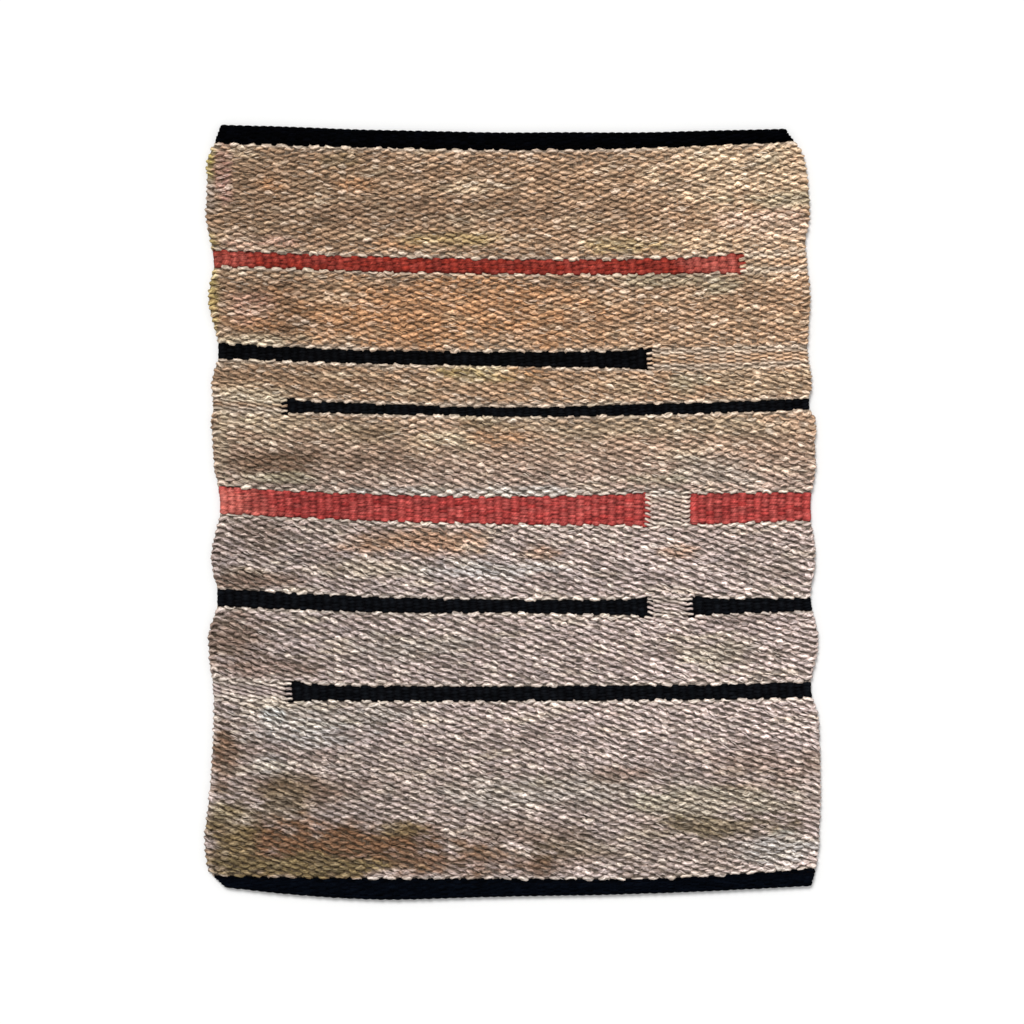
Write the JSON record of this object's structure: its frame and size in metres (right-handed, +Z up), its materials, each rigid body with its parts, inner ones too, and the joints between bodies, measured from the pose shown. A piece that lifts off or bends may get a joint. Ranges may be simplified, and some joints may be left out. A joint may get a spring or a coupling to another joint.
{
  "type": "woven jute rug",
  "caption": "Flat hand-woven jute rug with broken bars of finer red and black yarn and a turned-under dark hem at each end.",
  "frame": {"origin": "under the middle of the rug, on the surface it lies on", "axes": "+Y along the rug's length towards the far hem, +Z up out of its face"},
  "size_m": [0.6186, 0.7776, 0.008],
  "materials": {
    "jute": "matte hand-spun yarn",
    "red_yarn": "matte spun yarn",
    "black_yarn": "matte spun yarn"
  },
  "bodies": {
    "root": {"woven_cloth": "jute"}
  },
  "joints": []
}
